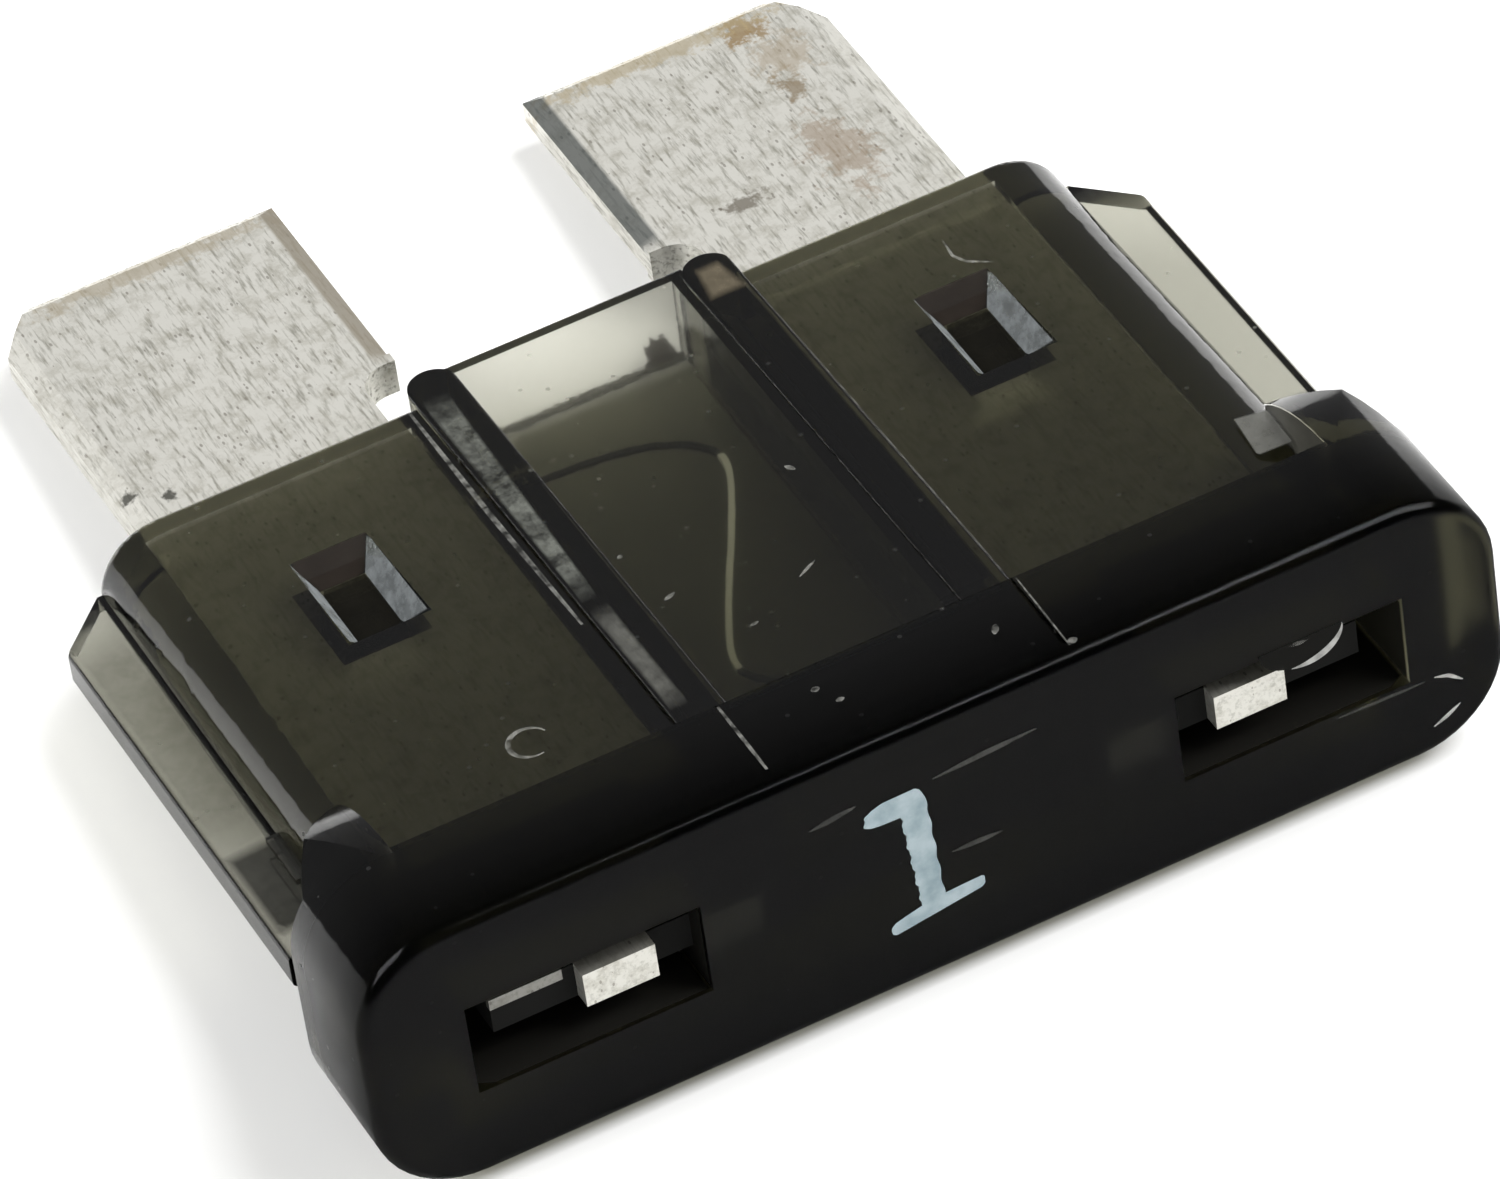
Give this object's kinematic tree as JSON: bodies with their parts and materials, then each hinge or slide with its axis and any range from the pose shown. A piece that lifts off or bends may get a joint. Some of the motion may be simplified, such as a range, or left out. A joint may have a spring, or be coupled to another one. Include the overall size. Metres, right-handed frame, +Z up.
{
  "type": "plug-in blade fuse",
  "caption": "Plug-in blade fuse: smoky clear moulded housing with two flat blades, test windows in the rating face and a fine link behind a middle window.",
  "frame": {"origin": "centre of the rating face of the head, on the fuse's own mid-plane", "axes": "+X across the two blades, +Y away from the rating face towards the blade tips, +Z up from the table; the fuse lies on one flat side, so its own mid-plane slopes down by the angle of rest towards the blade tips"},
  "size_m": [0.019, 0.019, 0.0052],
  "materials": {
    "smoky_plastic": "smooth moulded, see-through smoke tint",
    "plated_zinc": "satin, fine streaks along the blades, a few brown stains"
  },
  "bodies": {
    "root": {"housing": "smoky_plastic", "element": "plated_zinc"}
  },
  "joints": []
}
